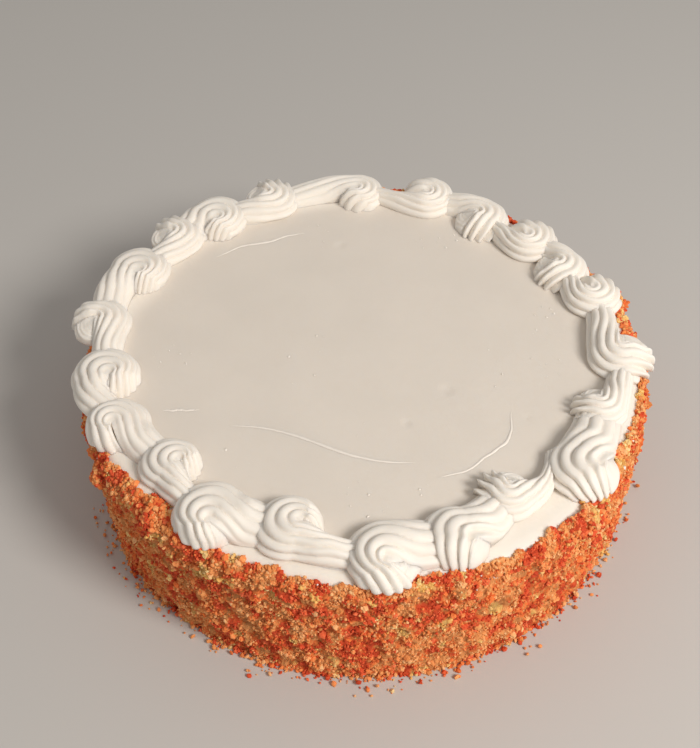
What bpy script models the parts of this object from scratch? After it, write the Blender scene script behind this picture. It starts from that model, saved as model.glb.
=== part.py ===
"""A ten-inch ice cream cake: a crumb-coated round body, a smooth cap of whipped cream
and a reverse-shell border piped round its rim. Metres, +Z up, resting on z = 0."""

import math
import random

import bmesh
import bpy
from mathutils import Vector, noise

# Driving dimensions
TOP_HEIGHT = 0.070  # the flat top of the cream
BASE_RADIUS = 0.1298  # mean face of the crumb coat at the foot
RIM_RADIUS = 0.1318  # mean face of the crumb coat at the rim
CREAM_RADIUS = 0.1275
CREAM_DEPTH = 0.010  # depth of cream that shows above the crumbs
CREAM_ROUND = 0.0045  # radius of the cream's rolled edge
CLEARANCE = 0.0003  # gap between pieces that touch

# The crumb coat, as bumps of a crumb's size
CRUMB_COLUMNS = 140
CRUMB_ROWS = 10
CRUMB_BUMP = 0.0016  # how far a crumb stands in or out
CRUMB_DRIFT = 0.0014  # the same for the coat's slower unevenness
DRIFT_SIZE = 0.017
LIP_HEIGHT = 0.0650  # mean upper edge of the crumbs
LIP_WAVE = 0.0024  # how unevenly that edge runs
CRUMB_SEED = 11

# Clumps of crumbs that stand out: place in degrees, height and radius and how far the
# clump stands out, in millimetres.
CLUMPS = [
    (3, 57, 7, 3.0),
    (20, 60, 9, 4.5),
    (47, 56, 7, 3.0),
    (206, 52, 8, 3.0),
    (223, 48, 9, 3.5),
    (318, 50, 9, 2.5),
]

# A piped shell of whipped cream
SWIRL_RADIUS = 0.0160  # of its foot, seen from above
SWIRL_CROWN = 0.0115
EYE_SHARE = 0.84  # height of the eye, as a share of the crown
CROWN_PLACE = 0.30  # where the crown lies between eye and foot
RIDGES = 6  # ridges that a star tip leaves from eye to foot
GROOVE = 0.10  # depth of the grooves, as a share of the section
FOOT = 0.0006  # upright edge where the cream meets the cake
TURN_START = 12  # degrees of turn at which the curl starts, from straight ahead
TURN_END = 270
START_SHARE = 0.50  # size of the curl's start, as a share of its full size
START_GROWTH = 95  # degrees of turn over which it grows to full size
HEAD_SECTIONS = 11
TAIL_SECTIONS = 4
FAN = 0.60  # below 1 fans the ridges out towards the foot where the curl starts
FAN_TURN = 190  # degrees of turn at which they run evenly spaced
TAIL_END_WIDTH = 0.85  # at the next shell's middle, as a share of the tail's start
TAIL_END_HEIGHT = 0.55

# Each shell: place round the rim in degrees, side that the curl starts on (1 is the outer
# side, -1 the inner), distance of its middle from the axis in millimetres, size, and how far
# its eye lies ahead of its middle and towards the starting side, in millimetres.
SHELLS = [
    (357.9, 1, 119, 0.96, 3, 2),
    (18.2, 1, 118, 0.92, 0, -2),
    (29.5, -1, 114, 0.88, 3, 2),
    (43.0, 1, 117, 0.95, 0, -4),
    (57.3, -1, 115, 0.92, 3, 2),
    (73.5, 1, 121, 0.95, 0, -4),
    (91.0, -1, 121, 0.86, 3, 4.5),
    (113.5, 1, 124, 0.92, 3, 2),
    (127.9, -1, 126, 1.02, 5, 8),
    (139.5, 1, 127, 0.88, 3, 2),
    (152.9, -1, 127, 1.00, 8, 5.5),
    (171.5, 1, 127, 0.90, 3, 2),
    (187.6, -1, 120, 1.02, 6.5, 3),
    (203.2, 1, 118, 0.93, 4, 3.5),
    (219.6, -1, 108, 0.88, 6.5, 2),
    (236.4, 1, 114, 1.05, 6, 7.5),
    (253.2, -1, 107, 0.96, 6.5, 1),
    (274.3, 1, 116, 1.07, 0, 7.5),
    (289.0, 1, 113, 0.95, 2, 8),
    (304.8, -1, 105, 0.78, 3, 2),
    (322.3, 1, 117, 1.02, -1, 8.5),
    (340.5, -1, 112, 0.76, 3, 2),
]

CREAM_COLOUR = (0.83, 0.79, 0.71, 1)
CRUMB_COLOUR = (0.62, 0.23, 0.09, 1)


def clear_scene():
    for old in list(bpy.data.objects):
        bpy.data.objects.remove(old, do_unlink=True)


def finish_material(name, colour, roughness):
    """A Principled material of one colour."""
    material = bpy.data.materials.new(name)
    material.use_nodes = True
    shader = material.node_tree.nodes["Principled BSDF"]
    shader.inputs["Base Color"].default_value = colour
    shader.inputs["Roughness"].default_value = roughness
    shader.inputs["Metallic"].default_value = 0.0
    return material


def add_object(name, mesh_builder, material, location=(0, 0, 0)):
    """A named object from a bmesh, triangulated, with its faces turned outwards."""
    bmesh.ops.recalc_face_normals(mesh_builder, faces=mesh_builder.faces)
    bmesh.ops.triangulate(mesh_builder, faces=mesh_builder.faces)
    mesh = bpy.data.meshes.new(name)
    mesh_builder.to_mesh(mesh)
    mesh_builder.free()
    mesh.materials.append(material)
    mesh.shade_smooth()
    mesh.set_sharp_from_angle(angle=math.radians(50))
    obj = bpy.data.objects.new(name, mesh)
    obj.location = location
    bpy.context.scene.collection.objects.link(obj)
    return obj


def ease(share):
    """A smooth step from 0 to 1."""
    share = min(max(share, 0.0), 1.0)
    return share * share * (3 - 2 * share)


def polar(radius, angle, z):
    return Vector((radius * math.cos(angle), radius * math.sin(angle), z))


def turned_solid(rings, columns):
    """A closed solid from rings of points, first to last, each end closed by a flat face."""
    builder = bmesh.new()
    loops = [[builder.verts.new(point) for point in ring] for ring in rings]
    for lower, upper in zip(loops, loops[1:]):
        for i in range(columns):
            j = (i + 1) % columns
            builder.faces.new((lower[i], lower[j], upper[j], upper[i]))
    builder.faces.new(loops[0][::-1])
    builder.faces.new(loops[-1])
    return builder


def crumb_relief(radius, angle, z, rng):
    """How far the crumb coat stands out at a point of the side."""
    relief = CRUMB_DRIFT * noise.noise(polar(radius, angle, z) / DRIFT_SIZE)
    relief += CRUMB_BUMP * rng.uniform(-1, 1)
    for place, height, size, out in CLUMPS:
        turn = (angle - math.radians(place) + math.pi) % (2 * math.pi) - math.pi
        distance = math.hypot(turn * radius, z - height / 1000) / (size / 1000)
        relief += out / 1000 * ease(1.4 - distance)
    return relief


def crumb_ring(height_share, rng):
    """One ring of the craggy side. A crumb's corner also strays along the side."""
    mean_radius = BASE_RADIUS + (RIM_RADIUS - BASE_RADIUS) * height_share
    row_height = LIP_HEIGHT / (CRUMB_ROWS - 1)
    ring = []
    for i in range(CRUMB_COLUMNS):
        angle = 2 * math.pi * (i + 0.35 * rng.uniform(-1, 1)) / CRUMB_COLUMNS
        z = height_share * LIP_HEIGHT
        if 0 < height_share < 1:
            z += 0.3 * row_height * rng.uniform(-1, 1)
        if height_share == 1:
            z += LIP_WAVE * rng.uniform(-1, 1)
        ring.append(polar(mean_radius + crumb_relief(mean_radius, angle, z, rng), angle, z))
    return ring


def plain_ring(radius, z, columns):
    return [polar(radius, 2 * math.pi * i / columns, z) for i in range(columns)]


def make_body(material):
    """The cake under its crumbs, with a shallow seat in its top for the cap of cream."""
    rng = random.Random(CRUMB_SEED)
    rings = [crumb_ring(row / (CRUMB_ROWS - 1), rng) for row in range(CRUMB_ROWS)]
    seat_radius = CREAM_RADIUS + CLEARANCE
    seat_height = TOP_HEIGHT - CREAM_DEPTH - CLEARANCE
    inner_lip = []
    for i in range(CRUMB_COLUMNS):
        angle = 2 * math.pi * i / CRUMB_COLUMNS
        z = LIP_HEIGHT - 0.001 + 0.5 * LIP_WAVE * rng.uniform(-1, 1)
        inner_lip.append(polar(seat_radius, angle, z))
    rings.append(inner_lip)
    rings.append(plain_ring(seat_radius, seat_height, CRUMB_COLUMNS))
    return add_object("cake_body", turned_solid(rings, CRUMB_COLUMNS), material)


def make_cream_cap(material):
    """The smooth cap of cream, with a rolled edge."""
    columns = 84
    steps = 3
    low = TOP_HEIGHT - CREAM_DEPTH
    rings = [plain_ring(CREAM_RADIUS, low, columns)]
    for i in range(steps + 1):
        turn = math.pi / 2 * i / steps
        radius = CREAM_RADIUS - CREAM_ROUND * (1 - math.cos(turn))
        z = TOP_HEIGHT - CREAM_ROUND * (1 - math.sin(turn))
        rings.append(plain_ring(radius, z, columns))
    return add_object("cream_cap", turned_solid(rings, columns), material)


class Shell:
    """One piped shell. In plan, its swirl turns about the eye; then its tail runs forward
    to the next shell's swirl, which covers the rest of it."""

    def __init__(self, angle_deg, side, middle_mm, size, eye_ahead_mm, eye_aside_mm):
        angle = math.radians(angle_deg)
        self.side = side
        self.size = size
        self.ahead = Vector((-math.sin(angle), math.cos(angle)))
        self.outward = Vector((math.cos(angle), math.sin(angle)))
        self.middle = self.outward * middle_mm / 1000
        self.offset = (self.ahead * eye_ahead_mm + self.outward * side * eye_aside_mm) / 1000
        self.eye = self.middle + self.offset

    def direction(self, turn):
        """The plan direction from the eye at an angle of turn, in radians."""
        across = self.outward * self.side
        return self.ahead * math.cos(turn) + across * math.sin(turn)

    def growth(self, turn, start_share):
        """The curl starts small and grows to full size as it turns."""
        share = (math.degrees(turn) - TURN_START) / START_GROWTH
        share = min(max(share, 0.0), 1.0)
        return start_share + (1 - start_share) * math.sin(math.pi / 2 * share)

    def reach(self, turn):
        """Distance from the eye to the swirl's round foot."""
        along = self.offset.dot(self.direction(turn))
        radius = SWIRL_RADIUS * self.size
        full = math.sqrt(along**2 - self.offset.length_squared + radius**2) - along
        return full * self.growth(turn, START_SHARE)

    def crown(self, turn):
        return SWIRL_CROWN * math.sqrt(self.size) * self.growth(turn, 0.7)

    def covers(self, point, gap):
        """Whether this shell's swirl reaches to within the gap of a plan point."""
        offset = point - self.eye
        turn = math.atan2(offset.dot(self.outward * self.side), offset.dot(self.ahead))
        turn %= 2 * math.pi
        turn = min(max(turn, math.radians(TURN_START)), math.radians(TURN_END))
        return offset.length < self.reach(turn) + gap

    def tail_centre(self, share, following):
        """The tail's centre line, from beside the eye to the following shell's middle."""
        turn = math.radians(TURN_END)
        start = self.eye + self.direction(turn) * self.reach(turn) / 2
        end = following.middle
        span = (end - start).length
        pull_start = start + self.ahead * span * 0.4
        pull_end = end - following.ahead * span * 0.35
        rest = 1 - share
        return (
            start * rest**3
            + pull_start * 3 * rest**2 * share
            + pull_end * 3 * rest * share**2
            + end * share**3
        )

    def tail_section(self, share, following):
        """Plan points of the tail's near and far foot at a share of its full length."""
        step = 0.01
        centre = self.tail_centre(share, following)
        along = self.tail_centre(share + step, following) - centre
        along.normalize()
        across = Vector((along.y, -along.x))
        if across.dot(self.direction(math.radians(TURN_END))) < 0:
            across = -across
        width = self.reach(math.radians(TURN_END)) / 2
        width *= 1 + (TAIL_END_WIDTH - 1) * ease(share)
        return centre - across * width, centre + across * width


def swirl_profile(share):
    """The swirl's section from eye to foot: place outwards and height, as shares."""
    if share < CROWN_PLACE:
        part = share / CROWN_PLACE
        return share, EYE_SHARE + (1 - EYE_SHARE) * math.sin(math.pi / 2 * part)
    turn = math.pi / 2 * (share - CROWN_PLACE) / (1 - CROWN_PLACE)
    return CROWN_PLACE + (1 - CROWN_PLACE) * math.sin(turn), math.cos(turn)


def tail_profile(share):
    """The tail's section from its inner to its outer foot: a half ellipse."""
    turn = math.pi * (share - 0.5)
    return 0.5 + 0.5 * math.sin(turn), math.cos(turn)


def section_point(inner, outer, crown, blend, line, fan=1.0):
    """The point of a ridged section on one of the lines that run over the shell, where odd
    lines are ridges. The blend is 0 for a section of the swirl and 1 for one of the tail."""
    share = (line / (2 * RIDGES)) ** fan
    swirl = swirl_profile(share)
    tail = tail_profile(share)
    place, height = (a + (b - a) * blend for a, b in zip(swirl, tail))
    if line % 2 == 0 and 0 < share < 1:
        core = CROWN_PLACE + (0.5 - CROWN_PLACE) * blend
        place += (core - place) * GROOVE
        height *= 1 - GROOVE
    plan = inner.lerp(outer, place)
    return Vector((plan.x, plan.y, max(height * crown, FOOT)))


def head_rows(shell):
    """The points of each line over the swirl."""
    rows = [[] for _ in range(2 * RIDGES + 1)]
    for i in range(HEAD_SECTIONS):
        turn = TURN_START + (TURN_END - TURN_START) * i / (HEAD_SECTIONS - 1)
        fan = FAN + (1 - FAN) * ease((turn - TURN_START) / (FAN_TURN - TURN_START))
        turn = math.radians(turn)
        foot = shell.eye + shell.direction(turn) * shell.reach(turn)
        for line, row in enumerate(rows):
            row.append(section_point(shell.eye, foot, shell.crown(turn), 0, line, fan))
    return rows


def tail_point(shell, following, share, line):
    inner, outer = shell.tail_section(share, following)
    crown = shell.crown(math.radians(TURN_END))
    crown *= 1 + (TAIL_END_HEIGHT - 1) * ease(share)
    return section_point(inner, outer, crown, ease(share / 0.45), line)


def tail_stop(shell, following, line):
    """The share of the tail at which one of its lines meets the following swirl."""
    low, high = 0.0, 1.0
    for _ in range(30):
        middle = (low + high) / 2
        point = tail_point(shell, following, middle, line).xy
        if following.covers(point, CLEARANCE):
            high = middle
        else:
            low = middle
    return low


def tail_rows(shell, following):
    """The points of each line over the tail. Each ends on the following swirl's outline."""
    rows = []
    for line in range(2 * RIDGES + 1):
        stop = tail_stop(shell, following, line)
        shares = [stop * i / TAIL_SECTIONS for i in range(1, TAIL_SECTIONS + 1)]
        rows.append([tail_point(shell, following, share, line) for share in shares])
    return rows


def make_shell(name, shell, following, material):
    """The closed solid of one shell, from the lines over it and a flat foot."""
    heads = head_rows(shell)
    tails = tail_rows(shell, following)
    builder = bmesh.new()
    eye_top = builder.verts.new(heads[0][0])
    eye_foot = builder.verts.new((shell.eye.x, shell.eye.y, 0))
    rows = []
    for i, (head, tail) in enumerate(zip(heads, tails)):
        points = [builder.verts.new(p) for p in tail]
        if i == 0:
            rows.append([eye_top] * HEAD_SECTIONS + points)
        else:
            rows.append([builder.verts.new(p) for p in head] + points)
    count = HEAD_SECTIONS + TAIL_SECTIONS
    inner_foot = [eye_foot] * HEAD_SECTIONS
    for vertex in rows[0][HEAD_SECTIONS:]:
        inner_foot.append(builder.verts.new((vertex.co.x, vertex.co.y, 0)))
    outer_foot = [builder.verts.new((v.co.x, v.co.y, 0)) for v in rows[-1]]
    end_foot = [inner_foot[-1]]
    for row in rows[1:-1]:
        end_foot.append(builder.verts.new((row[-1].co.x, row[-1].co.y, 0)))
    end_foot.append(outer_foot[-1])

    def add_face(*corners):
        unique = list(dict.fromkeys(corners))
        if len(unique) > 2:
            builder.faces.new(unique)

    for i in range(count - 1):
        add_face(inner_foot[i], inner_foot[i + 1], rows[0][i + 1], rows[0][i])
        for near, far in zip(rows, rows[1:]):
            add_face(near[i], near[i + 1], far[i + 1], far[i])
        add_face(rows[-1][i], rows[-1][i + 1], outer_foot[i + 1], outer_foot[i])
    add_face(eye_foot, *[row[0] for row in rows], outer_foot[0])
    for k in range(len(rows) - 1):
        add_face(end_foot[k], end_foot[k + 1], rows[k + 1][-1], rows[k][-1])
    add_face(*inner_foot, *end_foot[1:-1], *reversed(outer_foot))
    return add_object(name, builder, material, (0, 0, TOP_HEIGHT + CLEARANCE))


def centre_on_origin(objects):
    """Moves the whole cake so that the middle of its outline lies over the origin."""
    corners = [obj.matrix_world @ v.co for obj in objects for v in obj.data.vertices]
    middle = Vector(
        [(max(c[i] for c in corners) + min(c[i] for c in corners)) / 2 for i in (0, 1)]
    )
    for obj in objects:
        obj.location.x -= middle.x
        obj.location.y -= middle.y


def main():
    clear_scene()
    cream = finish_material("whipped_cream", CREAM_COLOUR, 0.55)
    crumb = finish_material("crumb_coat", CRUMB_COLOUR, 0.85)
    objects = [make_body(crumb), make_cream_cap(cream)]
    shells = [Shell(*row) for row in SHELLS]
    for i, shell in enumerate(shells):
        following = shells[(i + 1) % len(shells)]
        objects.append(make_shell(f"shell_{i + 1:02d}", shell, following, cream))
    bpy.context.view_layer.update()
    centre_on_origin(objects)


main()
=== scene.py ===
"""The looks of an ice cream cake: whipped cream on top, a piped border and a coat of crumbs."""

import itertools
import math
from collections import namedtuple

import bmesh
import bpy
import numpy as np
from mathutils import Matrix, Vector


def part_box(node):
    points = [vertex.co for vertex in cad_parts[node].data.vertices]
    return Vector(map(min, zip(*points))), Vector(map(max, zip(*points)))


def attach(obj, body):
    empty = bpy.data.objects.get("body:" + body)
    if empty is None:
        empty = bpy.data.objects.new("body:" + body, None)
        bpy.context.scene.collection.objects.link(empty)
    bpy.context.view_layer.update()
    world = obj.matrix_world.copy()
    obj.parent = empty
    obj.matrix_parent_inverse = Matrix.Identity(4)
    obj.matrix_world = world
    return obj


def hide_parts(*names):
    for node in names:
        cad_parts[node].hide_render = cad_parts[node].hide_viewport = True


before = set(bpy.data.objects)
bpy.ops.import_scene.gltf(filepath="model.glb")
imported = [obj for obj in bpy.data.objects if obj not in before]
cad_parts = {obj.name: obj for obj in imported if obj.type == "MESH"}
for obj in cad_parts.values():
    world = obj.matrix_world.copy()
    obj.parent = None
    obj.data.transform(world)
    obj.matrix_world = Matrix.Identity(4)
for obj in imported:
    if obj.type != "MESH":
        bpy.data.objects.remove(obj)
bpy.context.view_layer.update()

# ---------------------------------------------------------------- sizes, in metres

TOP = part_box("cream_cap")[1].z
CREAM_LOW, CREAM_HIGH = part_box("cream_cap")
AXIS = np.array([(CREAM_LOW.x + CREAM_HIGH.x) / 2, (CREAM_LOW.y + CREAM_HIGH.y) / 2])

# the side: a wall that widens to the rim, then a rounded edge
FOOT_RADIUS = 0.1290
RIM_RADIUS = 0.1312
WALL = 0.0625
EDGE_WIDTH = 0.0077
EDGE_HEIGHT = 0.0077
EDGE_RUN = 0.0121
CRUMB_TOP = 0.0800

# the cap of cream
CREAM_RADIUS = RIM_RADIUS - 0.0012
CREAM_ROUND = 0.0077
CREAM_DEPTH = 0.0099

# the full swirl, with its eye and its crown as shares of the way out and of the height
SWIRL_RADIUS = 0.0160
SWIRL_CROWN = 0.0117
EYE_SHARE = 0.84
EYE_GAP = 0.00015
CROWN_PLACE = 0.30
GROOVE = 0.17
SINK = 0.0006

# turns round the eye, in degrees: 0 is ahead along the border and 270 is where the tail starts
TURN_START = 12
START_GROWTH = 95
TURN_END = 270
STRAIGHT_LIMIT = 84

# the end of a tail, as shares of its start
TAIL_END_WIDTH = 0.85
TAIL_END_HEIGHT = 0.50

# the fineness of a shell's surface
HEAD_STEPS = 110
TAIL_STEPS = 30
ACROSS = 52

# How a swirl starts. "inner" and "outer" are the turns in degrees at which its inner and
# outer ridges begin to run round the eye. "begin" is the turn where the surface begins and
# "width" its width there, as a share of the full swirl. "ridges" is their number and "first"
# how far out the first one lies. "slope" says how much of the start is a smooth slope instead
# of a dome, "low" how high it begins, and "soft" how far out from the eye the grooves fade.
Style = namedtuple("Style", "inner outer begin width ridges first slope low soft")
STYLES = {
    "closed": Style(70, 116, -85, 0.85, 5, 0.10, 0.6, 0.62, 0.45),
    "open": Style(115, 168, -65, 0.92, 5, 0.10, 0.8, 0.30, 0.14),
    "wide": Style(110, 176, -65, 0.92, 5, 0.10, 0.8, 0.30, 0.14),
    "hook": Style(60, 158, -45, 0.92, 5, 0.10, 0.8, 0.30, 0.45),
    "straight": Style(165, 185, -45, 0.92, 5, 0.10, 1.0, 0.30, 0.14),
    "curved": Style(206, 198, -65, 0.88, 5, 0.17, 1.0, 0.30, 0.14),
    "blob": Style(70, 150, -55, 0.95, 5, 0.10, 0.8, 0.30, 0.45),
}

# Each shell: place in degrees, starting side (1 is outward), middle from the axis in
# millimetres, size, how far its eye lies ahead of its middle and towards the starting side in
# millimetres, style, and how torn the ridges' ends are.
SHELLS = [
    (357.9, 1, 119, 0.96, 3, 2, "straight", 0.5),
    (18.2, 1, 118, 0.92, 0, -2, "blob", 0.0),
    (29.5, -1, 114, 0.88, 3, 2, "straight", 0.4),
    (43.0, 1, 117, 0.95, 0, -4, "blob", 0.0),
    (57.3, -1, 115, 0.92, 3, 2, "straight", 0.3),
    (73.5, 1, 121, 0.95, 0, -4, "blob", 0.0),
    (91.0, -1, 121, 0.86, 3, 4.5, "hook", 0.1),
    (113.5, 1, 124, 0.92, 3, 2, "straight", 0.8),
    (127.9, -1, 126, 1.02, 5, 8, "closed", 0.0),
    (139.5, 1, 127, 0.88, 3, 2, "straight", 0.9),
    (152.9, -1, 127, 1.00, 8, 5.5, "closed", 0.0),
    (171.5, 1, 127, 0.90, 3, 2, "straight", 0.6),
    (187.6, -1, 120, 1.02, 6.5, 3, "closed", 0.0),
    (203.2, 1, 118, 0.93, 4, 3.5, "hook", 0.0),
    (219.6, -1, 108, 0.88, 6.5, 2, "closed", 0.0),
    (236.4, 1, 114, 1.05, 6, 7.5, "open", 0.0),
    (253.2, -1, 107, 0.96, 6.5, 1, "closed", 0.0),
    (274.3, 1, 116, 1.07, 0, 7.5, "wide", 0.0),
    (289.0, 1, 113, 0.95, 6.5, 8, "curved", 0.0),
    (304.8, -1, 105, 0.78, 3, 2, "straight", 1.0),
    (322.3, 1, 117, 1.02, 4.5, 8.5, "curved", 0.0),
    (340.5, -1, 112, 0.76, 3, 2, "straight", 0.8),
]

# Tails that don't end under the next swirl: place in degrees, from the axis in millimetres,
# heading from straight ahead towards the middle in degrees, and width at the end.
LOOSE_TAILS = {20: (322.0, 102, 30, 0.35)}


# ---------------------------------------------------------------- small helpers


def ease(share):
    """A smooth step from 0 to 1."""
    share = np.clip(share, 0, 1)
    return share * share * (3 - 2 * share)


def mix(a, b, share):
    """From a at share 0 to b at share 1."""
    return a + (b - a) * share


class Noise:
    """Smooth seeded noise in three dimensions, from -1 to 1, for arrays of points."""

    CELLS = 4096

    def __init__(self, seed):
        rng = np.random.default_rng(seed)
        self.table = rng.uniform(-1, 1, self.CELLS)
        self.shuffle = rng.permutation(self.CELLS)

    def corner(self, i, j, k):
        """The number that belongs to a corner of the grid."""
        n = self.shuffle[i % self.CELLS]
        n = self.shuffle[(n + j) % self.CELLS]
        return self.table[(n + k * 7) % self.CELLS]

    def __call__(self, points):
        cell = np.floor(points).astype(int)
        part = points - cell
        u, v, w = (part * part * (3 - 2 * part)).T
        i, j, k = cell.T
        total = 0
        for di, wi in ((0, 1 - u), (1, u)):
            for dj, wj in ((0, 1 - v), (1, v)):
                for dk, wk in ((0, 1 - w), (1, w)):
                    total = total + wi * wj * wk * self.corner(i + di, j + dj, k + dk)
        return total


def octaves(noise, points, size, count=3, gain=0.5):
    """Several layers of noise, each finer than the last."""
    total = 0
    for n in range(count):
        total = total + gain**n * noise(points / size * 2**n + 17.3 * n)
    return total


def make_object(name, points, faces, material, smooth=True):
    """A new piece from its points and faces."""
    mesh = bpy.data.meshes.new(name)
    mesh.from_pydata(np.asarray(points).tolist(), [], faces)
    mesh.update()
    if smooth:
        mesh.shade_smooth()
    mesh.materials.append(material)
    obj = bpy.data.objects.new(name, mesh)
    bpy.context.scene.collection.objects.link(obj)
    return obj


def grid_faces(rows, columns, wrap_columns=False):
    """Quads over a grid of points numbered row by row."""
    faces = []
    for r in range(rows - 1):
        for c in range(columns if wrap_columns else columns - 1):
            d = (c + 1) % columns
            a, b = r * columns, (r + 1) * columns
            faces.append((a + c, a + d, b + d, b + c))
    return faces


def ring_points(angle):
    """Points on a circle of radius 1."""
    return np.stack([np.cos(angle), np.sin(angle), 0 * angle], axis=1)


def on_top(points):
    """Moves points from the middle of the flat top to their place."""
    return points + np.array([AXIS[0], AXIS[1], TOP])


def dress(obj, slot, *nodes):
    """A piece of the cake: it rides on the cake and takes the place of CAD nodes."""
    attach(obj, "root")
    if nodes:
        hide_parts(*nodes)


def set_numbers(obj, name, numbers):
    """Gives each point of a piece a number that its material reads."""
    layer = obj.data.attributes.new(name, "FLOAT", "POINT")
    layer.data.foreach_set("value", numbers.astype(np.float32))


# ---------------------------------------------------------------- materials


class Graph:
    """A short way to write a material's nodes."""

    def __init__(self, name):
        self.material = bpy.data.materials.new(name)
        self.material.use_nodes = True
        self.tree = self.material.node_tree
        self.shader = self.tree.nodes["Principled BSDF"]

    def add(self, kind, inputs=None, **settings):
        node = self.tree.nodes.new(kind)
        for key, value in settings.items():
            setattr(node, key, value)
        for key, value in (inputs or {}).items():
            self.set(node, key, value)
        return node

    def set(self, node, key, value):
        socket = node.inputs[key]
        if isinstance(value, bpy.types.NodeSocket):
            self.tree.links.new(value, socket)
        else:
            socket.default_value = value

    def coordinates(self):
        return self.add("ShaderNodeTexCoord").outputs["Object"]

    def noise(self, vector, scale, detail=2.0, roughness=0.5):
        node = self.add(
            "ShaderNodeTexNoise",
            {"Vector": vector, "Scale": scale, "Detail": detail, "Roughness": roughness},
        )
        return node.outputs["Fac"]

    def ramp(self, value, *stops):
        node = self.add("ShaderNodeValToRGB", {"Fac": value})
        elements = node.color_ramp.elements
        for _ in range(len(stops) - 2):
            elements.new(0.5)
        for element, (position, colour) in zip(elements, stops):
            element.position = position
            element.color = (*colour, 1)
        return node.outputs["Color"]

    def bump(self, height, strength, distance, normal=None):
        inputs = {"Height": height, "Strength": strength, "Distance": distance}
        if normal is not None:
            inputs["Normal"] = normal
        return self.add("ShaderNodeBump", inputs).outputs["Normal"]

    def math(self, operation, a, b):
        node = self.add("ShaderNodeMath", operation=operation)
        self.set(node, 0, a)
        self.set(node, 1, b)
        return node.outputs["Value"]


def cream_material(name, colour, roughness, translucent=0.55):
    """Whipped cream: off-white, a little translucent, with fine pores. Where the surface's number
    "edge" is 1, at the rolled rim, it is drawn whiter as a painted highlight, since the rim faces
    the light."""
    g = Graph(name)
    at = g.coordinates()
    broad = g.noise(at, 28, 3)
    dark = tuple(c * 0.965 for c in colour)
    tint = g.ramp(broad, (0.3, dark), (0.7, colour))
    # Painted highlight: the rolled rim, where the number "edge" is 1, is drawn whiter because it
    # faces the light.
    edge = g.add("ShaderNodeAttribute", attribute_name="edge").outputs["Fac"]
    painted_rim_highlight = g.ramp(edge, (0.0, (1.0, 1.0, 1.0)), (1.0, (1.17, 1.18, 1.19)))
    tint = g.add("ShaderNodeVectorMath", {0: tint, 1: painted_rim_highlight}, operation="MULTIPLY")
    g.set(g.shader, "Base Color", tint.outputs["Vector"])
    g.set(g.shader, "Roughness", g.math("ADD", g.math("MULTIPLY", broad, 0.12), roughness - 0.06))
    g.set(g.shader, "Specular IOR Level", 0.32)
    g.set(g.shader, "Subsurface Weight", translucent)
    g.set(g.shader, "Subsurface Radius", (0.0031, 0.0029, 0.0026))
    g.set(g.shader, "Subsurface Scale", 1.0)
    pores = g.noise(at, 900, 3, 0.6)
    lumps = g.noise(at, 260, 2, 0.5)
    normal = g.bump(lumps, 0.25, 0.0004)
    normal = g.bump(pores, 0.18, 0.0002, normal)
    g.set(g.shader, "Normal", normal)
    return g.material


def crumb_material(name, dark=None, mean=None, pale=None):
    """A dry, grainy crumb. Its shade comes from the crumb's own number, or, where there are
    no colours, its colour comes from the surface under it."""
    g = Graph(name)
    at = g.coordinates()
    mottle = g.noise(at, 700, 4, 0.7)
    if mean:
        shade = g.add("ShaderNodeAttribute", attribute_name="shade").outputs["Fac"]
        value = g.math("ADD", g.math("MULTIPLY", shade, 0.50), g.math("MULTIPLY", mottle, 0.50))
        colour = g.ramp(value, (0.22, dark), (0.5, mean), (0.78, pale))
    else:
        tint = g.add("ShaderNodeAttribute", attribute_name="tint").outputs["Color"]
        spots = g.ramp(mottle, (0.3, (0.72, 0.66, 0.62)), (0.7, (1.0, 1.0, 1.0)))
        colour = g.add("ShaderNodeVectorMath", {0: tint, 1: spots}, operation="MULTIPLY")
        colour = colour.outputs["Vector"]
    g.set(g.shader, "Base Color", colour)
    g.set(g.shader, "Roughness", 0.8)
    g.set(g.shader, "Specular IOR Level", 0.18)
    g.set(g.shader, "Subsurface Weight", 0.10)
    g.set(g.shader, "Subsurface Radius", (0.0012, 0.0005, 0.0002))
    g.set(g.shader, "Subsurface Scale", 1.0)
    grain = g.noise(at, 1300, 3, 0.7)
    g.set(g.shader, "Normal", g.bump(grain, 0.7, 0.0006))
    return g.material


# ---------------------------------------------------------------- the piped border


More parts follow.
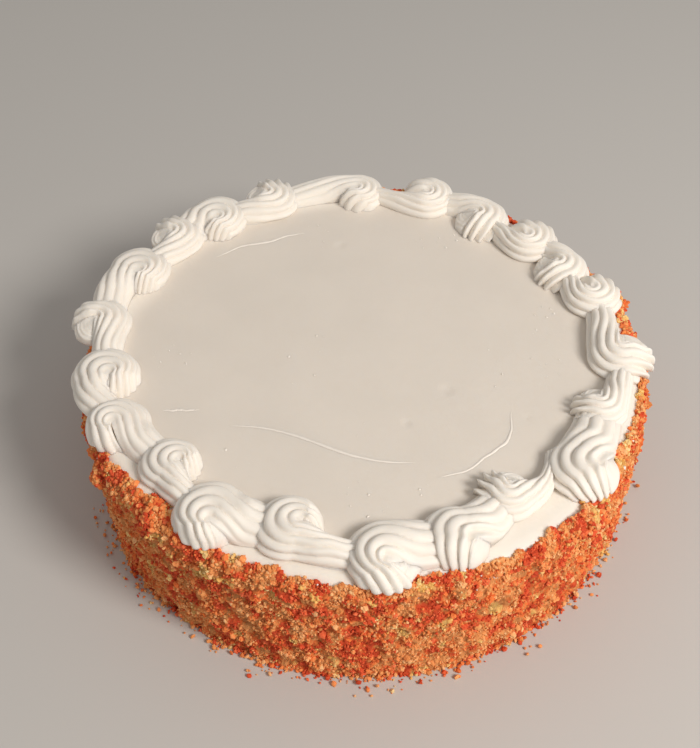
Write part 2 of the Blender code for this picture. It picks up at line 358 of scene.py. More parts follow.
class Shell:
    """One shell of the border: a swirl round an eye, with a tail to the next shell."""

    def __init__(self, number, angle_deg, side, middle_mm, size, eye_ahead, eye_aside, style, torn):
        angle = math.radians(angle_deg)
        self.side = side
        self.size = size
        self.torn = torn
        self.style = STYLES[style]
        self.loose = LOOSE_TAILS.get(number)
        self.ahead = np.array([-math.sin(angle), math.cos(angle)])
        self.outward = np.array([math.cos(angle), math.sin(angle)])
        self.offset = (self.ahead * eye_ahead + self.outward * side * eye_aside) / 1000
        self.middle = self.outward * middle_mm / 1000
        self.eye = self.middle + self.offset

    def direction(self, turn):
        """Plan directions from the eye, one row for each angle of turn in degrees."""
        turn = np.radians(turn)
        across = self.outward * self.side
        return np.outer(np.cos(turn), self.ahead) + np.outer(np.sin(turn), across)

    def reach(self, turn):
        """From the eye to the outline, a circle round the shell's middle."""
        along = self.direction(turn) @ self.offset
        radius = SWIRL_RADIUS * self.size
        full = np.sqrt(along**2 - self.offset @ self.offset + radius**2) - along
        grown = np.sin(np.pi / 2 * np.clip((turn - TURN_START) / START_GROWTH, 0, 1))
        return full * mix(self.style.width, 1, grown)

    def crown(self, turn):
        """The height, which grows from the start on."""
        grown = ease((turn - self.style.begin) / mix(160, 60, self.style.slope))
        return SWIRL_CROWN * math.sqrt(self.size) * mix(self.style.low, 1.0, grown)

    def tail_centre(self, share, following):
        """The tail's middle line, a curve that ends heading the next shell's way."""
        turn = np.array([float(TURN_END)])
        start = self.eye + self.direction(turn)[0] * self.reach(turn)[0] / 2
        end, heading = following.middle, following.ahead
        pull = 0.35
        if self.loose:
            place, middle_mm, bend, _ = self.loose
            place, bend = math.radians(place), math.radians(bend)
            out = np.array([math.cos(place), math.sin(place)])
            end = out * middle_mm / 1000
            heading = np.array([-out[1], out[0]]) * math.cos(bend) - out * math.sin(bend)
            pull = 0.60
        span = np.linalg.norm(end - start)
        one = start + self.ahead * span * 0.4
        two = end - heading * span * pull
        s = share[:, None]
        r = 1 - s
        return start * r**3 + one * 3 * r * r * s + two * 3 * r * s * s + end * s**3

    def ridge_phase(self, turns, share):
        """Counts the ridges from the eye outward; below 0 is the smooth start. Each ridge runs
        straight up to its pivot and then round the eye."""
        style = self.style
        line = np.linspace(0, style.ridges, 161)
        rest = mix(style.first, 1, line / style.ridges)
        pivot = mix(style.inner, style.outer, line / style.ridges)
        rest_reach = rest * self.reach(pivot)
        phase = np.empty((len(turns), len(share)))
        for row, turn in enumerate(turns):
            before = np.radians(np.clip(pivot - turn, 0, STRAIGHT_LIMIT))
            straight = rest_reach / np.cos(before) / self.reach(np.array([turn]))
            place = np.where(turn < pivot, straight, rest)
            place = np.maximum.accumulate(place) + line * 1e-6
            inside = (share - place[0]) / 0.16
            phase[row] = np.where(share < place[0], inside, np.interp(share, place, line))
        return phase

    def head_turns(self):
        """The turns of the sections round the head, closest where the ridges end."""
        even = np.linspace(self.style.begin, TURN_END, 400)
        ends = (even > self.style.outer - 90) & (even < self.style.outer + 5)
        count = np.cumsum(1 + 2 * ends)
        share = (count - count[0]) / (count[-1] - count[0])
        return np.interp(np.linspace(0, 1, HEAD_STEPS), share, even)

    def first_ridge_turn(self):
        """Where the second ridge rises from the foot."""
        style = self.style
        rest = mix(style.first, 1, 1 / style.ridges)
        pivot = mix(style.inner, style.outer, 1 / style.ridges)
        turn = np.arange(pivot - STRAIGHT_LIMIT, pivot)
        across = self.reach(turn) * np.cos(np.radians(pivot - turn))
        return turn[np.argmax(across > rest * self.reach(np.array([pivot])))]


def swirl_profile(share):
    """Place and height across a head: up from the eye to the crown, then round to the foot."""
    inside = share < CROWN_PLACE
    part = np.clip(share / CROWN_PLACE, 0, 1)
    turn = np.pi / 2 * (share - CROWN_PLACE) / (1 - CROWN_PLACE)
    place = np.where(inside, share, CROWN_PLACE + (1 - CROWN_PLACE) * np.sin(turn))
    height = np.where(inside, EYE_SHARE + (1 - EYE_SHARE) * np.sin(np.pi / 2 * part), np.cos(turn))
    return place, height


def tail_profile(share):
    """Place and height across a tail, half a circle."""
    turn = np.pi * (share - 0.5)
    return 0.5 + 0.5 * np.sin(turn), np.cos(turn)


def ramp_profile(share):
    """The smooth start slopes from the eye down to a low rounded edge."""
    height = EYE_SHARE * (1 - 0.60 * share**0.9) * np.sqrt(1 - share**7)
    return share, height


def shell_plan(shell, following, turn, run):
    """The inner and outer foot of every section: round the eye, then along the tail."""
    head_in = shell.eye + shell.direction(turn) * EYE_GAP
    head_out = shell.eye + shell.direction(turn) * shell.reach(turn)[:, None]
    centre = shell.tail_centre(run, following)
    along = shell.tail_centre(run + 0.01, following) - centre
    along /= np.linalg.norm(along, axis=1)[:, None]
    across = np.stack([along[:, 1], -along[:, 0]], axis=1)
    end = np.array([float(TURN_END)])
    if across[0] @ shell.direction(end)[0] < 0:
        across = -across
    narrow = shell.loose[3] if shell.loose else TAIL_END_WIDTH
    width = shell.reach(end)[0] / 2 * mix(1, narrow, ease(run))
    inner = np.vstack([head_in, centre - across * width[:, None]])
    outer = np.vstack([head_out, centre + across * width[:, None]])
    return inner[:, None, :], outer[:, None, :]


def shell_crown(shell, turn, run, share):
    """The height of every section, which is full near the eye from the start on."""
    full = shell.crown(np.array([float(TURN_END)]))[0]
    near = 0.93 * full * (1 - ease(share[None] / 0.45))
    if shell.style.first > 0.1:
        near = near * ease((turn - shell.style.begin) / 60)[:, None]
    head = np.maximum(shell.crown(turn)[:, None], near)
    tail = full * mix(1, TAIL_END_HEIGHT, ease(run))[:, None]
    return np.vstack([head, np.repeat(tail, ACROSS, axis=1)])


def shell_ridges(shell, steps, share, blend, seed, lean):
    """How high each point stands between groove and ridge, from 0 to 1, and how deep the
    grooves are. The ridges rise from the foot one after another where the curl starts."""
    style = shell.style
    phase = mix(shell.ridge_phase(steps, share), style.ridges * share[None], blend)
    steps = steps[:, None]
    sway = 0.10 * np.sin(steps / 57.3 * 1.7 + lean) * share[None]
    phase = phase + sway * (phase > 0)
    ridge = np.abs(np.sin(np.pi * np.maximum(phase, 0))) ** 0.75
    start = 0.85 * (1 - np.exp(np.minimum(phase, 0) * 1.3))
    start = start - 0.25 * np.sin(np.pi * phase) ** 2 * np.exp(np.minimum(phase, 0) * 0.25)
    ridge = np.where(phase > 0, ridge, start)
    number = np.floor(np.maximum(phase, 0)).astype(int)
    depth = GROOVE * (1 + 0.15 * np.sin(number * 2.4 + seed))
    depth = depth * ease((steps - style.begin) / 50) * mix(1, 0.8, ease((steps - 290) / 60))
    depth = depth * ease(share[None] / style.soft + 0.1)
    ends = ease((style.outer - steps) / 40)
    return ridge, depth * (1 + 0.45 * ends * ease((share[None] - 0.35) / 0.3))


def shell_points(shell, following, seed):
    """The points over one shell: a row for each step along it, a column for each across."""
    rng = np.random.default_rng(seed)
    noise = Noise(seed)
    share = np.linspace(0, 1, ACROSS)
    turn = shell.head_turns()
    run = np.linspace(0, 1, TAIL_STEPS + 1)[1:]
    inner, outer = shell_plan(shell, following, turn, run)
    crown = shell_crown(shell, turn, run, share)

    # the smooth section, which goes from the sloping start to the swirl and then to the tail
    blend = np.concatenate([np.zeros(HEAD_STEPS), ease(run / 0.45)])[:, None]
    steps = np.concatenate([turn, TURN_END + run * 90])
    risen = ease((steps - shell.first_ridge_turn() + 45) / 80)
    risen = (1 - shell.style.slope * (1 - risen))[:, None]
    place, height = (
        mix(mix(ramp[None], swirl[None], risen), tail[None], blend)
        for ramp, swirl, tail in zip(ramp_profile(share), swirl_profile(share), tail_profile(share))
    )

    # ridges and grooves
    ridge, depth = shell_ridges(shell, steps, share, blend, seed, rng.uniform(0, 6.28))
    core = mix(CROWN_PLACE, 0.5, blend)
    shrink = 1 - depth * (1 - ridge)
    place = core + (place - core) * shrink
    height = height * shrink

    # torn ends, which stand out in points
    ends = ease((shell.style.outer - steps[:, None]) / 40) * ease((share[None] - 0.55) / 0.3)
    point = np.maximum(ridge - 0.45, 0) / 0.55
    place = place + 0.16 * shell.torn * ends * point**2
    height = height + 0.22 * shell.torn * ends * point**2

    plan = inner + (outer - inner) * place[..., None]
    z = height * crown
    points = np.concatenate([plan, z[..., None]], axis=2)
    flat = points.reshape(-1, 3)
    wobble = np.stack([octaves(noise, flat + 0.1 * n, 0.011, 2) for n in range(3)], axis=1)
    lift = np.clip(z / 0.004, 0, 1)[..., None]
    return points + wobble.reshape(points.shape) * 0.00042 * lift


def make_shell(name, shell, following, seed, material):
    """The closed mesh of one shell, sunk a little into the cap."""
    points = shell_points(shell, following, seed)
    under_in, under_out = points[:, :1].copy(), points[:, -1:].copy()
    under_in[..., 2] = under_out[..., 2] = -SINK
    ring = np.concatenate([under_in, points, under_out], axis=1)
    rows, columns = ring.shape[:2]
    faces = grid_faces(rows, columns, wrap_columns=True)
    faces.append(tuple(range(columns))[::-1])
    last = (rows - 1) * columns
    faces.append(tuple(range(last, last + columns)))
    if shell.side < 0:
        faces = [face[::-1] for face in faces]
    return make_object(name, on_top(ring.reshape(-1, 3)), faces, material)


def piped_border(material):
    """The ring of shells, each with its tail under the next."""
    shells = [Shell(i + 1, *row) for i, row in enumerate(SHELLS)]
    for i, shell in enumerate(shells):
        following = shells[(i + 1) % len(shells)]
        obj = make_shell(f"piped_shell_{i + 1:02d}", shell, following, 40 + i, material)
        dress(obj, "whipped_cream", f"shell_{i + 1:02d}")


# ---------------------------------------------------------------- the smooth cap


# Raised lines where the palette knife was lifted: places from the axis, in millimetres.
KNIFE_LINES = [
    [(-76, 71), (-64, 80), (-49, 83), (-41, 88), (-31, 90)],
    [(32, -74), (45, -70), (53, -62), (62, -55), (65, -48), (66, -36)],
    [(-60, -44), (-42, -46), (-28, -51), (-8, -61), (7, -65), (22, -66)],
    [(-91, -35), (-83, -35), (-74, -35)],
]
KNIFE_WIDTH = 0.00065
KNIFE_HEIGHT = 0.00030

# Shallow dents in the cream: places from the axis and sizes, in millimetres.
DENTS = [(38, -23, 3.5), (73, -40, 1.6), (19, -43, 2.5), (-12, 80, 3.0)]
DENT_DEPTH = 0.00035

# The bubbles: how many are tried, and how far from the axis they reach, in metres.
BUBBLES = 420
BUBBLE_AREA = 0.1


def cream_waves(noise, points):
    """How far the spread cream is from flat."""
    height = octaves(noise, points * (1, 1, 0), 0.045, 2) * 0.00022 - 0.0002
    for x, y, size in DENTS:
        distance = np.hypot(points[:, 0] - x / 1000, points[:, 1] - y / 1000)
        height = height - DENT_DEPTH * ease(1.3 - distance / (size / 1000))
    return height


def knife_path(rng, line, steps):
    """A smooth, slightly uneven line on the cream, and how thick it is along its way."""
    knots = np.array(line) / 1000
    share = np.linspace(0, 1, steps)
    knot_share = np.linspace(0, 1, len(knots))
    path = np.stack([np.interp(share, knot_share, knots[:, n]) for n in range(2)], axis=1)
    path[1:-1] += rng.normal(0, 0.0004, path[1:-1].shape)
    for _ in range(12):
        path[1:-1] = (path[:-2] + 2 * path[1:-1] + path[2:]) / 4
    size = np.sqrt(np.sin(np.pi * share)) * rng.uniform(0.6, 1.3, steps) + 0.05
    size[1:-1] = (size[:-2] + size[1:-1] + size[2:]) / 3
    return path, size[:, None]


def knife_lines(rng, noise, material):
    """The raised lines on the spread cream."""
    points, faces = [], []
    steps, around = 80, 10
    turn = np.linspace(0, 2 * np.pi, around, endpoint=False)
    for line in KNIFE_LINES:
        path, size = knife_path(rng, line, steps)
        along = np.gradient(path, axis=0)
        along /= np.linalg.norm(along, axis=1)[:, None]
        across = np.stack([-along[:, 1], along[:, 0]], axis=1)
        aside = across[:, None] * (np.cos(turn) * KNIFE_WIDTH)[:, None] * size[..., None]
        plan = path[:, None] + aside
        z = KNIFE_HEIGHT * np.sin(turn) * size
        tube = np.concatenate([plan, z[..., None]], axis=2).reshape(-1, 3)
        tube[:, 2] += cream_waves(noise, tube)
        start = len(points) * steps * around
        loop = grid_faces(steps, around, wrap_columns=True)
        loop += [tuple(range(around))[::-1], tuple(range((steps - 1) * around, steps * around))]
        faces += [tuple(start + n for n in face) for face in loop]
        points.append(tube)
    dress(make_object("knife_lines", on_top(np.vstack(points)), faces, material), "whipped_cream")


def cream_bubbles(rng, noise, material):
    """Small bubbles in groups on the spread cream."""
    angle = rng.uniform(0, 2 * np.pi, BUBBLES)
    place = ring_points(angle) * (BUBBLE_AREA * np.sqrt(rng.uniform(0, 1, BUBBLES)))[:, None]
    place = place[octaves(noise, place + 9, 0.03, 2) > 0.35]
    sizes = 0.00025 + 0.00055 * rng.uniform(0, 1, len(place)) ** 2
    bubbles, faces, _ = granules(rng, place, sizes, 2)
    bubbles[:, 2] = bubbles[:, 2] * 0.5 + TOP + cream_waves(noise, bubbles)
    bubbles[:, :2] += AXIS
    dress(make_object("cream_bubbles", bubbles, faces.tolist(), material), "whipped_cream")


def knife_marks(material):
    """What the palette knife left on the spread cream."""
    noise, rng = Noise(3), np.random.default_rng(31)
    knife_lines(rng, noise, material)
    cream_bubbles(rng, noise, material)


def cream_cap(material):
    """The cap of cream, spread flat with a palette knife, with a rolled edge."""
    noise = Noise(3)
    columns = 360

    # the outline from the middle out: flat, round the edge, then down to the foot
    level = np.linspace(0, 1, 92)[1:] * (CREAM_RADIUS - CREAM_ROUND)
    turn = np.linspace(0, np.pi / 2, 9)[1:]
    bend = CREAM_RADIUS - CREAM_ROUND * (1 - np.sin(turn))
    radii = np.concatenate([level, bend, [CREAM_RADIUS, CREAM_RADIUS, CREAM_RADIUS]])
    fall = -CREAM_ROUND * (1 - np.cos(turn))
    z = np.concatenate([np.zeros_like(level), fall, [-0.0083, -0.0090, -CREAM_DEPTH]])
    rows = len(radii)

    # the surface, with its waves and an uneven rim
    angle = np.linspace(0, 2 * np.pi, columns, endpoint=False)
    x = radii[:, None] * np.cos(angle)
    y = radii[:, None] * np.sin(angle)
    flat = np.stack([x, y, np.repeat(z[:, None], columns, axis=1)], axis=2).reshape(-1, 3)
    wave = cream_waves(noise, flat)
    fade = np.clip(1 + flat[:, 2] / 0.004, 0, 1)
    uneven = octaves(noise, flat + 5, 0.014, 2) * 0.0005
    radial = np.linalg.norm(flat[:, :2], axis=1)
    out = flat[:, :2] / np.maximum(radial, 1e-6)[:, None]
    rim = ease((radial - (CREAM_RADIUS - 0.009)) / 0.009)
    flat[:, 2] += wave * fade
    flat[:, :2] += out * (uneven * rim)[:, None]
    flat = np.vstack([flat, [[0, 0, flat[:columns, 2].mean()]], [[0, 0, -CREAM_DEPTH]]])

    faces = [face[::-1] for face in grid_faces(rows, columns, wrap_columns=True)]
    centre = rows * columns
    last = (rows - 1) * columns
    for c in range(columns):
        d = (c + 1) % columns
        faces.append((centre, c, d))
        faces.append((centre + 1, last + d, last + c))
    obj = make_object("cream_top", on_top(flat), faces, material)
    # The number "edge" marks the rolled rim, where the cream gets a painted highlight because the
    # rim faces the light.
    set_numbers(obj, "edge", ease((np.append(radial, (0, 0)) - 0.108) / 0.012))
    dress(obj, "whipped_cream", "cream_cap")


# ---------------------------------------------------------------- the coat of crumbs


# How far up the side and over its edge the crumbs reach, in millimetres, every 12 degrees.
REACH_STEP = 12
REACH = [
    71, 73, 70, 71, 73, 69, 72, 74, 71, 70, 73, 71, 69, 72, 73,
    70, 66, 69, 73, 76, 71, 73, 69, 71, 71, 69, 70, 74, 71, 70,
]

# Clumps that stand out: place in degrees, height, radius and how far out, in millimetres.
CLUMPS = [
    (3, 57, 7, 3.0),
    (20, 60, 9, 4.5),
    (47, 56, 7, 3.0),
    (209, 60, 5, 3.5),
    (226, 68, 7, 3.5),
    (318, 58, 8, 2.5),
]

CLUMP_CRUMBS = 70

# How many crumbs are scattered; those that fall into hollows are taken out again.
CHUNKS = 900
LUMPS = 3000
CRUMBS = 18000
GRIT = 39000
CREAM_DABS = 90

# The crumbs round the foot: how many, how far out in metres, and where most lie loose.
FOOT_CRUMBS = 2600
FOOT_REACH = 0.0100
SPILT_PLACE = 212

# The colours of the crumbs, from shaded to sunlit.
COLOURS = {
    "tan": ((0.74, 0.25, 0.074), (0.94, 0.40, 0.142), (0.97, 0.55, 0.26)),
    "orange": ((0.71, 0.150, 0.043), (0.94, 0.250, 0.068), (0.97, 0.39, 0.14)),
    "red": ((0.52, 0.058, 0.022), (0.79, 0.106, 0.037), (0.92, 0.22, 0.09)),
    "yellow": ((0.84, 0.43, 0.11), (0.94, 0.58, 0.20), (0.97, 0.72, 0.36)),
}


def coat_surface(angle, run):
    """Points and outward directions on the smooth side, run being the way up from the foot."""
    share = np.clip(run / WALL, 0, 1)
    turn = np.pi / 2 * np.clip((run - WALL) / EDGE_RUN, 0, 1)
    over = np.maximum(run - WALL - EDGE_RUN, 0)
    radius = mix(FOOT_RADIUS, RIM_RADIUS, share) - EDGE_WIDTH * (1 - np.cos(turn)) - over
    out = ring_points(angle)
    points = out * radius[:, None]
    points[:, 2] = np.minimum(run, WALL) + EDGE_HEIGHT * np.sin(turn)
    normal = out * np.cos(turn)[:, None]
    normal[:, 2] = np.sin(turn)
    return points, normal


def coat_relief(noise, points, angle, run):
    """How far the coat stands out from the smooth side."""
    relief = 0.0011 * octaves(noise, points, 0.017, 2)
    heap = 1 + 0.5 * ease((run - 0.054) / 0.008)
    relief = relief + 0.0014 * heap * octaves(noise, points, 0.0048, 2)
    for place, high, size, out in CLUMPS:
        turn = (angle - math.radians(place) + np.pi) % (2 * np.pi) - np.pi
        distance = np.hypot(turn * RIM_RADIUS, run - high / 1000) / (size / 1000)
        relief = relief + out / 1000 * ease(1.5 - distance)
    return relief * np.clip((CRUMB_TOP - run) / 0.008, 0.3, 1)


def bed_relief(noise, points, angle, run):
    """The relief that the loose crumbs lie on, which is shallower over the edge."""
    relief = coat_relief(noise, points, angle, run)
    return np.where(run > WALL, np.maximum(relief, -0.0004) * 0.7, relief)


def coat_reach(noise, angle):
    """The way from the foot to the crumbs' ragged upper edge."""
    step = np.degrees(angle) % 360 / REACH_STEP
    low = np.floor(step).astype(int) % len(REACH)
    table = np.array(REACH) / 1000
    reach = mix(table[low], table[(low + 1) % len(REACH)], ease(step - np.floor(step)))
    return reach + 0.0020 * octaves(noise, ring_points(angle) * 0.13 + 3, 0.009, 3, 0.7)


def hues(patch, places):
    """Two numbers for each place: from tan through orange to red, and how yellow it is.
    They change slowly, so the crumbs lie in patches of one colour."""
    hue = octaves(patch, places, 0.0056, 2, 0.7) * 1.02
    gold = octaves(patch, places + 0.5, 0.0058, 2) + 0.20 * (places[:, 2] > 0.058) - 0.06
    return hue, gold


def packed_grains(noise, points, size):
    """Grains of about one size packed side by side: how high each point stands on the grain
    that holds it, from 0 to 1, and a number from -1 to 1 for that grain."""
    scaled = points / size
    cell = np.floor(scaled).astype(int)
    nearest, number = np.full(len(points), 9.0), np.zeros(len(points))
    for step in itertools.product((-1, 0, 1), repeat=3):
        i, j, k = (cell + step).T
        middle = np.stack([noise.corner(i, j, k + 50 * n) for n in (1, 2, 3)], axis=1)
        distance = np.linalg.norm(cell + step + 0.5 + 0.45 * middle - scaled, axis=1)
        closer = distance < nearest
        nearest = np.where(closer, distance, nearest)
        number = np.where(closer, noise.corner(i, j, k + 200), number)
    return np.sqrt(np.maximum(1 - (nearest / 0.95) ** 2, 0)), number


def bed_tint(hue, gold, number, shade):
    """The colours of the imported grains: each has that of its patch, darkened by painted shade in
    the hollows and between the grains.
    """
    hue, gold = hue + 0.38 * number, gold + 0.12 * number
    tint = np.ones((len(hue), 4))
    for channel in range(3):
        tan, orange, red, yellow = (COLOURS[name][1][channel] for name in COLOURS)
        tone = np.interp(hue, (-0.2, 0.0, 0.25, 0.45), (tan, orange, orange, red))
        tone = mix(tone, yellow, ease((gold - 0.62) / 0.12))
        tint[:, channel] = tone * np.clip(shade, 0.35, 1.1)
    return tint


def crumb_bed(material):
    """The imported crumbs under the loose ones."""
    noise, fine, patch = Noise(8), Noise(9), Noise(12)
    columns, rows = 1080, 90
    angle = np.linspace(0, 2 * np.pi, columns, endpoint=False)
    share = np.linspace(0, 1, rows)
    reach = coat_reach(noise, angle)
    a = np.repeat(angle[None], rows, axis=0).ravel()
    run = (share[:, None] * reach[None]).ravel()
    points, normal = coat_surface(a, run)
    broad = bed_relief(noise, points, a, run)
    grain, number = packed_grains(fine, points, 0.0023)
    relief = broad - 0.0011 + 0.0016 * grain + 0.0007 * octaves(fine, points, 0.0022, 2, 0.8)
    relief = relief + np.random.default_rng(24).uniform(-0.00028, 0.00028, len(relief))

    # the upper edge tucks in under the cream
    thin = np.repeat(ease((1 - share) / 0.03)[:, None], columns, axis=1).ravel()
    side = points + normal * (relief * thin - 0.0004 * (1 - thin))[:, None]
    side[:, 2] = np.maximum(side[:, 2], 0)
    inner = side[-columns:] - ring_points(angle) * 0.0012
    inner[:, 2] -= 0.0050
    points = np.vstack([side, inner, [[0, 0, 0.0630], [0, 0, 0]]])
    points[:, :2] += AXIS

    faces = grid_faces(rows + 1, columns, wrap_columns=True)
    top, last = (rows + 1) * columns, rows * columns
    for c in range(columns):
        d = (c + 1) % columns
        faces.append((top, last + c, last + d))
        faces.append((top + 1, d, c))
    obj = make_object("crumb_bed", points, faces, material, smooth=False)

    hue, gold = hues(patch, side)
    # Painted shade: the bed is darker in the gaps between grains and in the hollows of the coat;
    # the grain's own number adds a tone that differs at random.
    shade = 0.64 + 0.28 * grain + 0.16 * number + 60 * np.minimum(broad, 0)
    tint = np.ones((len(points), 4))
    tint[: len(side)] = bed_tint(hue, gold, number, shade)
    layer = obj.data.attributes.new("tint", "FLOAT_COLOR", "POINT")
    layer.data.foreach_set("color", tint.astype(np.float32).ravel())
    dress(obj, "crumb_coat", "cake_body")


def round_grain(levels):
    """Points and faces of a ball of triangles; the coarsest has eight."""
    if levels == 0:
        points = np.vstack([np.eye(3), -np.eye(3)])
        upper = [(0, 1, 2), (1, 3, 2), (3, 4, 2), (4, 0, 2)]
        lower = [(1, 0, 5), (3, 1, 5), (4, 3, 5), (0, 4, 5)]
        return points, np.array(upper + lower)
    ball = bmesh.new()
    bmesh.ops.create_icosphere(ball, subdivisions=levels, radius=1)
    points = np.array([v.co for v in ball.verts])
    faces = np.array([[v.index for v in f.verts] for f in ball.faces])
    ball.free()
    return points, faces


def random_turns(rng, count):
    """Random rotation matrices."""
    q = rng.normal(size=(count, 4))
    q /= np.linalg.norm(q, axis=1)[:, None]
    w, x, y, z = q.T
    rows = [
        [1 - 2 * (y * y + z * z), 2 * (x * y - z * w), 2 * (x * z + y * w)],
        [2 * (x * y + z * w), 1 - 2 * (x * x + z * z), 2 * (y * z - x * w)],
        [2 * (x * z - y * w), 2 * (y * z + x * w), 1 - 2 * (x * x + y * y)],
    ]
    return np.array(rows).transpose(2, 0, 1)


def granules(rng, places, sizes, levels):
    """Points, faces and shades of craggy grains at the given places."""
    ball, ball_faces = round_grain(levels)
    count = len(places)
    stretch = rng.uniform(0.65, 1.25, (count, 1, 3))
    crags = 1 + rng.uniform(-0.34, 0.24, (count, len(ball), 1))
    points = np.einsum("nij,nkj->nki", random_turns(rng, count), ball[None] * crags * stretch)
    points = points * sizes[:, None, None] + places[:, None, :]
    faces = ball_faces[None] + (np.arange(count) * len(ball))[:, None, None]
    shade = np.repeat(rng.uniform(0, 1, count), len(ball))
    return points.reshape(-1, 3), faces.reshape(-1, 3), shade


def crumb_piece(name, places, sizes, levels, material, seed, smooth=False):
    """One mesh of many separate crumbs."""
    points, faces, shade = granules(np.random.default_rng(seed), places, sizes, levels)
    points[:, :2] += AXIS
    points[:, 2] = np.maximum(points[:, 2], 0.00004)
    obj = make_object(name, points, faces.tolist(), material, smooth)
    set_numbers(obj, "shade", shade)
    return obj


def drawn_sizes(rng, count, least, spread, power):
    """Sizes of crumbs, more small ones than large ones."""
    return least + spread * rng.uniform(0, 1, count) ** power


def wall_crumbs(rng, noise, sizes, sunk, proud):
    """Places on the side and over its edge for crumbs partly sunk in the coat, and which of
    them are kept: few lie in the hollows. Some more of them lie along the upper edge."""
    count = len(sizes)
    angle = rng.uniform(0, 2 * np.pi, count)
    reach = coat_reach(noise, angle) + 0.0006
    run = rng.uniform(0, 1, count) * reach
    run = np.where(rng.uniform(0, 1, count) < 0.17, reach - rng.exponential(0.0035, count), run)
    run = np.maximum(run, 0)
    points, normal = coat_surface(angle, run)
    relief = bed_relief(noise, points, angle, run)
    lift = relief + rng.uniform(sunk, proud, count) * sizes
    places = points + normal * lift[:, None]
    high = relief / 0.0022 + rng.uniform(-0.2, 1.0, count) > 0
    return places, high


def clump_crumbs(rng, noise):
    """Extra crumbs heaped on the clumps."""
    places = []
    for place, high, size, out in CLUMPS:
        spread = rng.normal(0, 0.42, (CLUMP_CRUMBS, 2)) * size / 1000
        angle = math.radians(place) + spread[:, 0] / RIM_RADIUS
        run = high / 1000 + spread[:, 1]
        points, normal = coat_surface(angle, run)
        relief = coat_relief(noise, points, angle, run)
        places.append(points + normal * (relief + rng.uniform(0, 0.0012, CLUMP_CRUMBS))[:, None])
    return np.vstack(places)


def foot_crumbs(rng, noise, count):
    """Places at the foot: most against the coat, a few loose ones further out, and more of
    these where some were spilt."""
    angle = rng.uniform(0, 2 * np.pi, count)
    ring = ring_points(angle)
    patch = 0.5 + 0.5 * octaves(noise, ring * 0.13 + 7, 0.020, 2)
    spilt = np.exp(-(((np.degrees(angle) - SPILT_PLACE) / 14) ** 2))
    far = rng.uniform(0, 1, count) < 0.02 + 0.02 * patch + 0.20 * spilt
    out = rng.exponential(0.0007 + 0.0014 * patch) + np.where(far, rng.uniform(0, 0.009, count), 0)
    return ring * (FOOT_RADIUS - 0.0004 + np.minimum(out, FOOT_REACH))[:, None]


def scatter_crumbs(rng, noise):
    """The loose crumbs from coarse to fine: kind, places, sizes and fineness. The last ones
    of the lumps are those heaped on the clumps."""
    lump_sizes = drawn_sizes(rng, LUMPS, 0.0009, 0.0009, 1.7)
    lumps, kept = wall_crumbs(rng, noise, lump_sizes, -0.45, 0.35)
    heaped = clump_crumbs(rng, noise)
    heaped_sizes = rng.uniform(0.0008, 0.0015, len(heaped))
    lumps = np.vstack([lumps[kept], heaped])
    lump_sizes = np.concatenate([lump_sizes[kept], heaped_sizes])

    # the chunks are deep in the coat, and there are more of them near the top
    chunk_sizes = drawn_sizes(rng, CHUNKS, 0.0015, 0.0009, 1.5)
    chunks, kept = wall_crumbs(rng, noise, chunk_sizes, -0.65, 0.05)
    kept = kept & (chunks[:, 2] > rng.uniform(-0.02, 0.075, CHUNKS))
    chunks, chunk_sizes = chunks[kept], chunk_sizes[kept]

    fine_sizes = drawn_sizes(rng, CRUMBS, 0.00055, 0.00040, 1.5)
    fine, kept = wall_crumbs(rng, noise, fine_sizes, 0.0, 1.3)
    fallen = foot_crumbs(rng, noise, FOOT_CRUMBS)
    fallen_sizes = drawn_sizes(rng, FOOT_CRUMBS, 0.00040, 0.00090, 2)
    fallen[:, 2] = fallen_sizes * rng.uniform(0.4, 1.3, FOOT_CRUMBS)
    fine = np.vstack([fine[kept], fallen])
    fine_sizes = np.concatenate([fine_sizes[kept], fallen_sizes])

    grit_sizes = rng.uniform(0.00038, 0.00062, GRIT)
    grit, kept = wall_crumbs(rng, noise, grit_sizes, -0.1, 1.4)
    return [
        ("chunks", chunks, chunk_sizes, 3),
        ("lumps", lumps, lump_sizes, 2),
        ("crumbs", fine, fine_sizes, 1),
        ("grit", grit[kept], grit_sizes[kept], 0),
    ]


def crumbs(materials, cream):
    """The loose crumbs, in four colours and four sizes, with dabs of cream among them."""
    noise, patch = Noise(8), Noise(12)
    rng = np.random.default_rng(21)
    for kind, places, sizes, levels in scatter_crumbs(rng, noise):
        hue, gold = hues(patch, places)
        hue = hue + rng.normal(0, 0.33, len(places))
        gold = gold + rng.normal(0, 0.12, len(places))
        number = np.where(gold > 0.68, 3, np.digitize(hue, (-0.10, 0.31)))
        if kind == "lumps":
            heaped = len(CLUMPS) * CLUMP_CRUMBS
            number[-heaped:] = np.digitize(rng.uniform(0, 1, heaped), (0.15, 0.65))
        for n, (colour, material) in enumerate(materials.items()):
            chosen = number == n
            name = f"{kind}_{colour}"
            obj = crumb_piece(name, places[chosen], sizes[chosen], levels, material, 60 + n)
            dress(obj, "crumb_coat")

    # the dabs are among the upper crumbs
    sizes = rng.uniform(0.0004, 0.0009, CREAM_DABS)
    dabs, _ = wall_crumbs(rng, noise, sizes, 0.1, 0.7)
    kept = dabs[:, 2] > rng.uniform(0.055, 0.072, CREAM_DABS)
    obj = crumb_piece("cream_dabs", dabs[kept], sizes[kept], 2, cream, 70, smooth=True)
    dress(obj, "whipped_cream")


# ---------------------------------------------------------------- stage, light, camera


# The camera's place against the cake's axis, its turns in radians, and its focal length and
# the picture's width in pixels.
CAMERA_BACK, CAMERA_HEIGHT = 0.38151, 0.45277
CAMERA_PITCH, CAMERA_YAW, CAMERA_ROLL = 0.80415, -0.01749, -0.01512
FOCAL, PICTURE_WIDTH = 1147.82, 700
SENSOR_WIDTH = 36

FLOOR_REACH = 3


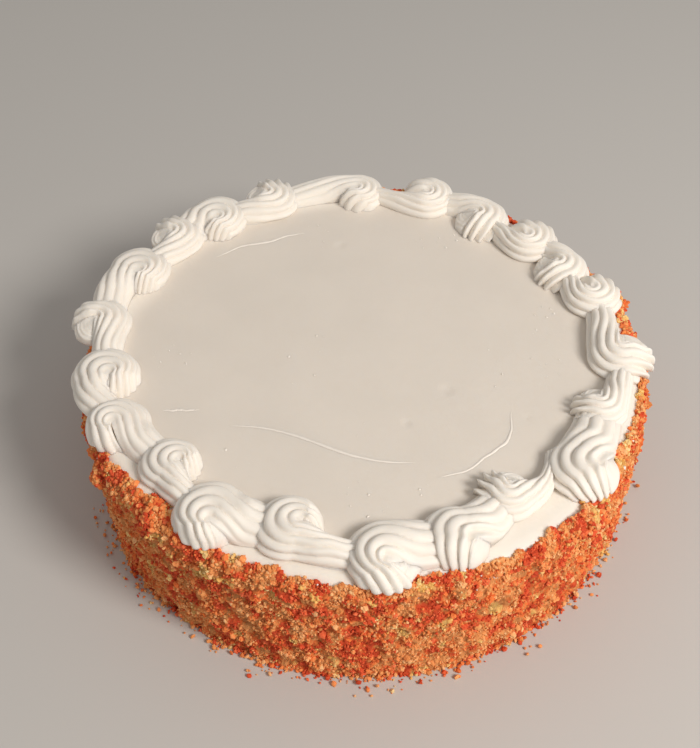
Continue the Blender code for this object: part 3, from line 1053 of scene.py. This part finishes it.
def floor():
    """The pale surface that the cake stands on."""
    g = Graph("pale_floor")
    g.set(g.shader, "Base Color", (0.58, 0.56, 0.535, 1))
    g.set(g.shader, "Roughness", 0.6)
    corners = [(-1, -1, 0), (1, -1, 0), (1, 1, 0), (-1, 1, 0)]
    obj = make_object("floor", np.array(corners) * FLOOR_REACH, [(0, 1, 2, 3)], g.material)


def area_light(name, place, target, size, energy, colour):
    """A round lamp that shines at a target."""
    data = bpy.data.lights.new(name, "AREA")
    data.shape = "DISK"
    data.size = size
    data.energy = energy
    data.color = colour
    obj = bpy.data.objects.new(name, data)
    obj.location = place
    obj.rotation_euler = (Vector(target) - Vector(place)).to_track_quat("-Z", "Y").to_euler()
    bpy.context.scene.collection.objects.link(obj)


def lights():
    """One warm lamp at the front right, and soft light from all round."""
    world = bpy.data.worlds.new("studio")
    bpy.context.scene.world = world
    world.use_nodes = True
    background = world.node_tree.nodes["Background"]
    background.inputs["Color"].default_value = (1.0, 0.965, 0.92, 1)
    background.inputs["Strength"].default_value = 0.38
    area_light("key", (0.84, -0.73, 1.02), (0, 0, 0.05), 0.48, 16.2, (1.0, 0.955, 0.90))
    view = bpy.context.scene.view_settings
    view.view_transform = "Standard"
    view.look = "None"


def camera():
    """A camera in front of the cake, looking down on it."""
    pitch, yaw, roll = CAMERA_PITCH, CAMERA_YAW, CAMERA_ROLL
    place = Vector((AXIS[0], AXIS[1] - CAMERA_BACK, CAMERA_HEIGHT))
    ahead = Vector(
        (math.sin(yaw) * math.cos(pitch), math.cos(yaw) * math.cos(pitch), -math.sin(pitch))
    )
    right = Vector((math.cos(yaw), -math.sin(yaw), 0))
    up = right.cross(ahead)
    right, up = (
        right * math.cos(roll) + up * math.sin(roll),
        up * math.cos(roll) - right * math.sin(roll),
    )
    data = bpy.data.cameras.new("camera")
    data.sensor_fit = "HORIZONTAL"
    data.sensor_width = SENSOR_WIDTH
    data.lens = FOCAL / PICTURE_WIDTH * SENSOR_WIDTH
    data.clip_start = 0.01
    obj = bpy.data.objects.new("camera", data)
    turn = Matrix((right, up, -ahead)).transposed().to_4x4()
    obj.matrix_world = Matrix.Translation(place) @ turn
    bpy.context.scene.collection.objects.link(obj)
    bpy.context.scene.camera = obj


# ---------------------------------------------------------------- the whole scene

camera()
floor()
lights()
# The spread cream is darker than the piped cream: partly a duller tone of its own, partly painted
# shade for the flat top, which gets less light than the shells' sloping sides.
spread = cream_material("spread_cream", (0.81, 0.742, 0.665), 0.42)
piped = cream_material("piped_cream", (0.93, 0.865, 0.79), 0.56)
raised = cream_material("raised_cream", (0.93, 0.865, 0.79), 0.42, translucent=0)
crumb_materials = {name: crumb_material(f"crumb_{name}", *COLOURS[name]) for name in COLOURS}
cream_cap(spread)
knife_marks(raised)
piped_border(piped)
crumb_bed(crumb_material("crumb_bed"))
crumbs(crumb_materials, raised)
